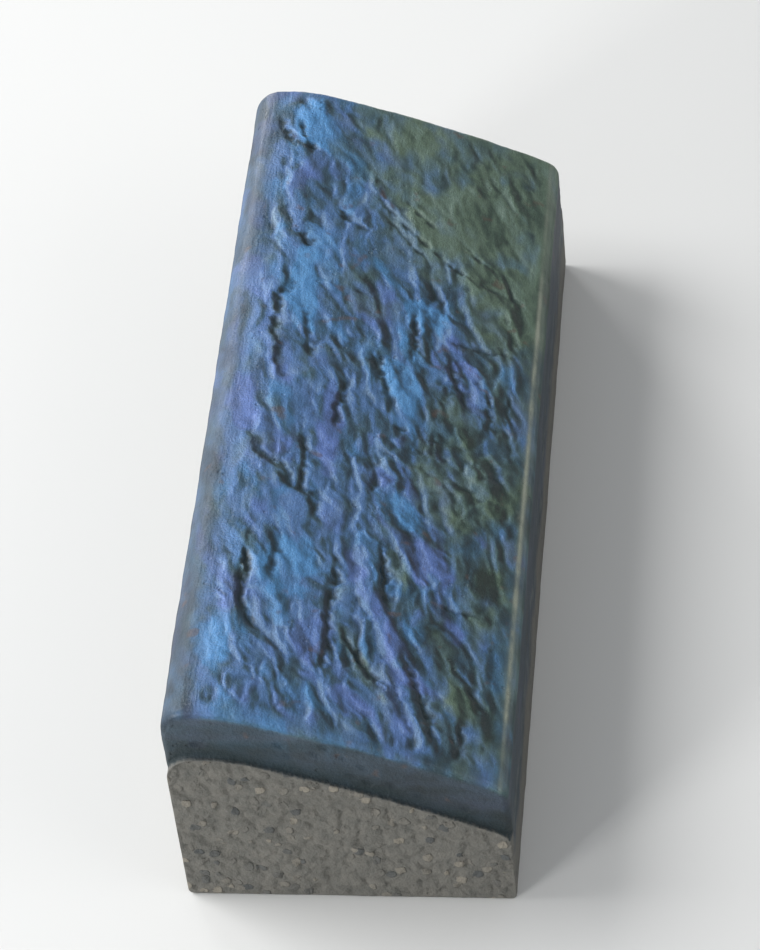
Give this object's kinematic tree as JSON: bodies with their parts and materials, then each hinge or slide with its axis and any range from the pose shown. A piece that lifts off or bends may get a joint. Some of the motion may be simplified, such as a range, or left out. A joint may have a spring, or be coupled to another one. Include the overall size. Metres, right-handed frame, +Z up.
{
  "type": "concrete kerb stone",
  "caption": "Slant-faced concrete kerb stone with a rounded crest, an eased toe and half a tooled joint groove at each end, laid end to end to edge a bed or lawn.",
  "frame": {"origin": "centre of the stone's footprint, on its foot", "axes": "+X from the back, the high side, to the toe, the low side; +Y along the kerb; +Z up"},
  "size_m": [0.152, 0.418, 0.127],
  "materials": {
    "sealed_concrete": "charcoal-coloured concrete with a stamped slate texture and a wet-look sealer"
  },
  "bodies": {
    "root": {"kerb_stone": "sealed_concrete"}
  },
  "joints": []
}
